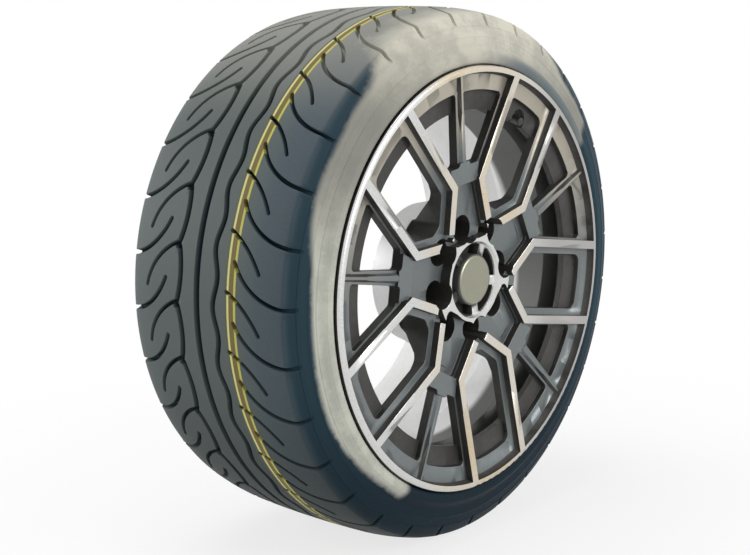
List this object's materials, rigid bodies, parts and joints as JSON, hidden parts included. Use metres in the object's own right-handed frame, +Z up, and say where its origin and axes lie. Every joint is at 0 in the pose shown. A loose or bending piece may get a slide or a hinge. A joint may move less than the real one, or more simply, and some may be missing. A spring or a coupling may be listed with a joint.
{
  "type": "car wheel with tyre",
  "caption": "Low-profile car tyre mounted on a two-tone multi-spoke alloy wheel, with a snap-in valve and centre cap, ready to bolt to a hub.",
  "frame": {"origin": "on the wheel's axis, at the hub mounting face", "axes": "+Y along the axis toward the car, the styled face looks along -Y, +Z up with the wheel standing on its tread"},
  "size_m": [0.558, 0.2429, 0.5564],
  "materials": {
    "tyre_rubber": "matte",
    "wheel_alloy": "dark paint with bare machined ribs and lip",
    "cap_plastic": "satin",
    "cap_metal": "brushed",
    "spring_steel": "bare",
    "valve_rubber": "matte",
    "valve_brass": "bare",
    "valve_plastic": "matte"
  },
  "bodies": {
    "wheel": {"wheel_rim": "wheel_alloy", "wheel_hub": "wheel_alloy", "spoke_group_1": "wheel_alloy", "spoke_group_2": "wheel_alloy", "spoke_group_3": "wheel_alloy", "spoke_group_4": "wheel_alloy", "spoke_group_5": "wheel_alloy", "tyre": "tyre_rubber", "centre_cap": "cap_plastic", "cap_disc": "cap_metal", "cap_spring_ring": "spring_steel", "valve_rubber": "valve_rubber", "valve_stem": "valve_brass", "valve_core": "valve_brass", "valve_spring": "spring_steel"},
    "valve_pin_body": {"valve_pin": "valve_brass"},
    "valve_cap_body": {"valve_cap": "valve_plastic"}
  },
  "joints": [
    {"name": "valve_pin_press", "type": "slide", "parent": "wheel", "child": "valve_pin_body", "axis": [0.1821, 0.9135, 0.3637], "range_m": [0, 0.0015], "stiffness_N_per_m": 3000, "springref_m": -0.001, "deforming": ["valve_spring"]},
    {"name": "valve_cap_off", "type": "slide", "parent": "wheel", "child": "valve_cap_body", "axis": [-0.1821, -0.9135, -0.3637], "range_m": [0, 0.02]}
  ]
}
